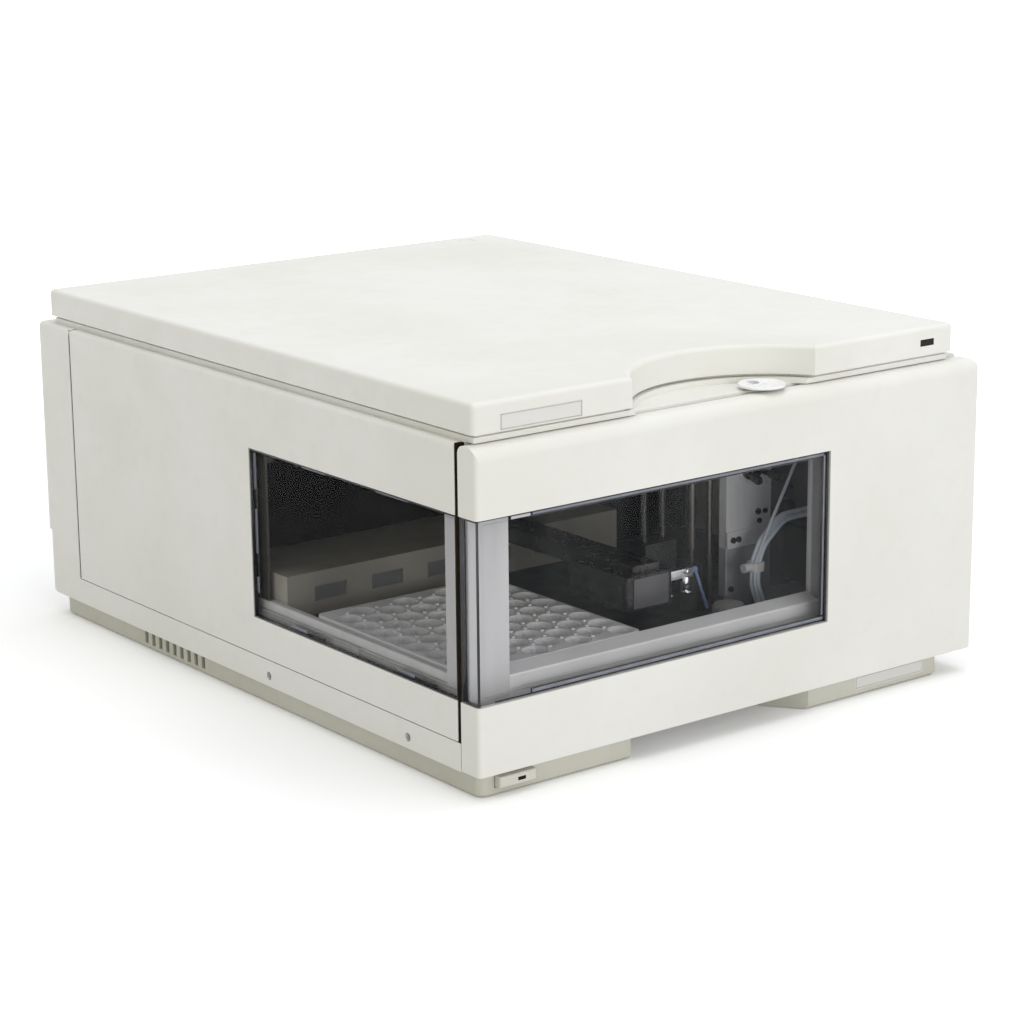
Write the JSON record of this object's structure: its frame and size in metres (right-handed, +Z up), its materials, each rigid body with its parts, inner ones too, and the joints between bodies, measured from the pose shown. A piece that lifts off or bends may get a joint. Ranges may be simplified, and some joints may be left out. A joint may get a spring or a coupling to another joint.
{
  "type": "autosampler",
  "caption": "Bench autosampler for liquid chromatography: low plastic cabinet with a windowed front door, a lift-off lid and a sample tray, gripper arm and needle inside.",
  "frame": {"origin": "the middle of the footprint, on the surface that the feet stand on", "axes": "+Z up, +Y towards the back of the cabinet, +X to the right as seen from the front"},
  "size_m": [0.345, 0.435, 0.2],
  "materials": {
    "cabinet": "fine moulded texture, off-white",
    "base": "fine moulded texture, slightly darker off-white",
    "smoked_pane": "clear plastic, lightly smoked",
    "dark_trim": "dark gloss",
    "white_plastic": "white satin",
    "light_grey": "light grey satin",
    "mid_grey": "mid grey satin",
    "dark_grey": "dark grey satin",
    "black_gloss": "black gloss",
    "foam": "black foam",
    "rubber": "matte",
    "belt": "matte",
    "steel": "ground steel",
    "chrome": "bright",
    "zinc": "grey painted sheet",
    "aluminium": "anodised",
    "dark_metal": "dark coated metal",
    "green_board": "green laminate",
    "tube": "translucent bluish white",
    "blue_tube": "blue",
    "brass": "bright"
  },
  "bodies": {
    "chassis": {"back_wall": "foam", "base_pan": "base", "cabinet_shell": "cabinet", "ceiling_foam": "foam", "compartment_floor": "dark_grey", "corner_post": "light_grey", "data_sockets": "steel", "door_hinges": "steel", "drive_motor": "dark_metal", "fan_frame": "dark_grey", "fan_guard": "chrome", "flush_pump": "dark_grey", "front_sill": "light_grey", "guide_rods": "steel", "inner_side_wall": "zinc", "knurled_cap": "mid_grey", "leak_funnel": "white_plastic", "leak_tray": "dark_grey", "main_board": "green_board", "needle_rods": "steel", "needle_seat": "white_plastic", "panel_screws": "dark_metal", "power_inlet": "black_gloss", "power_supply": "aluminium", "pump_plate": "dark_metal", "rail_frame": "dark_metal", "rating_plate": "zinc", "rear_panel": "zinc", "rear_screws": "steel", "right_post": "light_grey", "rubber_feet": "rubber", "sampling_panel": "aluminium", "seat_capillary": "blue_tube", "seat_plate": "dark_metal", "side_sill": "light_grey", "slotted_beam": "mid_grey", "timing_belt": "belt", "tube_bundle": "tube", "tube_clip": "white_plastic", "valve_stator": "steel", "vial_tray": "light_grey"},
    "front_door": {"front_door": "cabinet", "front_window": "smoked_pane", "door_strike": "steel"},
    "side_door": {"side_door": "cabinet", "side_window": "smoked_pane"},
    "lid": {"top_cover": "cabinet", "name_plate": "light_grey", "status_lens": "dark_trim"},
    "power_button": {"power_button": "base", "button_lens": "dark_trim"},
    "carriage": {"x_carriage": "dark_metal"},
    "arm": {"transport_arm": "black_gloss"},
    "gripper": {"gripper": "chrome"},
    "needle": {"sampling_needle": "dark_metal"},
    "valve_rotor": {"valve_rotor": "dark_grey"},
    "fan_rotor": {"fan_rotor": "dark_grey"},
    "pump_rotor": {"pump_rotor": "white_plastic"},
    "drive_pulley": {"drive_pulley": "brass"},
    "idler_pulley": {"idler_pulley": "brass"}
  },
  "joints": [
    {"name": "front_door_hinge", "type": "hinge", "parent": "chassis", "child": "front_door", "pos_m": [0.1665, -0.2085, 0.1], "axis": [0, 0, 1], "range_deg": [0, 100]},
    {"name": "side_panel_pull", "type": "slide", "parent": "chassis", "child": "side_door", "axis": [-1, 0, 0], "range_m": [0, 0.06]},
    {"name": "lid_lift", "type": "slide", "parent": "chassis", "child": "lid", "axis": [0, 0, 1], "range_m": [0, 0.06]},
    {"name": "power_button_press", "type": "slide", "parent": "chassis", "child": "power_button", "axis": [0, 1, 0], "range_m": [0, 0.0025], "stiffness_N_per_m": 600, "springref_m": -0.001},
    {"name": "carriage_slide", "type": "slide", "parent": "chassis", "child": "carriage", "axis": [1, 0, 0], "range_m": [-0.07, 0]},
    {"name": "arm_turn", "type": "hinge", "parent": "carriage", "child": "arm", "pos_m": [-0.024, -0.0235, 0.15], "axis": [0, 0, 1], "range_deg": [-15, 0]},
    {"name": "gripper_lift", "type": "slide", "parent": "arm", "child": "gripper", "axis": [0, 0, 1], "range_m": [0, 0.03]},
    {"name": "needle_lift", "type": "slide", "parent": "chassis", "child": "needle", "axis": [0, 0, 1], "range_m": [0, 0.018]},
    {"name": "valve_turn", "type": "hinge", "parent": "chassis", "child": "valve_rotor", "pos_m": [0.0835, -0.119, 0.116], "axis": [0, 1, 0], "range_deg": [-60, 60]},
    {"name": "fan_spin", "type": "hinge", "parent": "chassis", "child": "fan_rotor", "pos_m": [-0.0765, 0.1965, 0.10575], "axis": [0, 1, 0], "continuous": true},
    {"name": "pump_spin", "type": "hinge", "parent": "chassis", "child": "pump_rotor", "pos_m": [0.1275, -0.16, 0.062], "axis": [0, 1, 0], "continuous": true},
    {"name": "drive_pulley_spin", "type": "hinge", "parent": "chassis", "child": "drive_pulley", "pos_m": [0.0515, 0.0121, 0.1685], "axis": [0, 0, 1], "range_deg": [-645, 0]},
    {"name": "idler_pulley_spin", "type": "hinge", "parent": "chassis", "child": "idler_pulley", "pos_m": [-0.1443, 0.0121, 0.1685], "axis": [0, 0, 1], "range_deg": [-645, 0]}
  ],
  "couplings": [
    {"joint": "drive_pulley_spin", "follows": "carriage_slide", "rad_per_m": 160},
    {"joint": "idler_pulley_spin", "follows": "carriage_slide", "rad_per_m": 160}
  ]
}
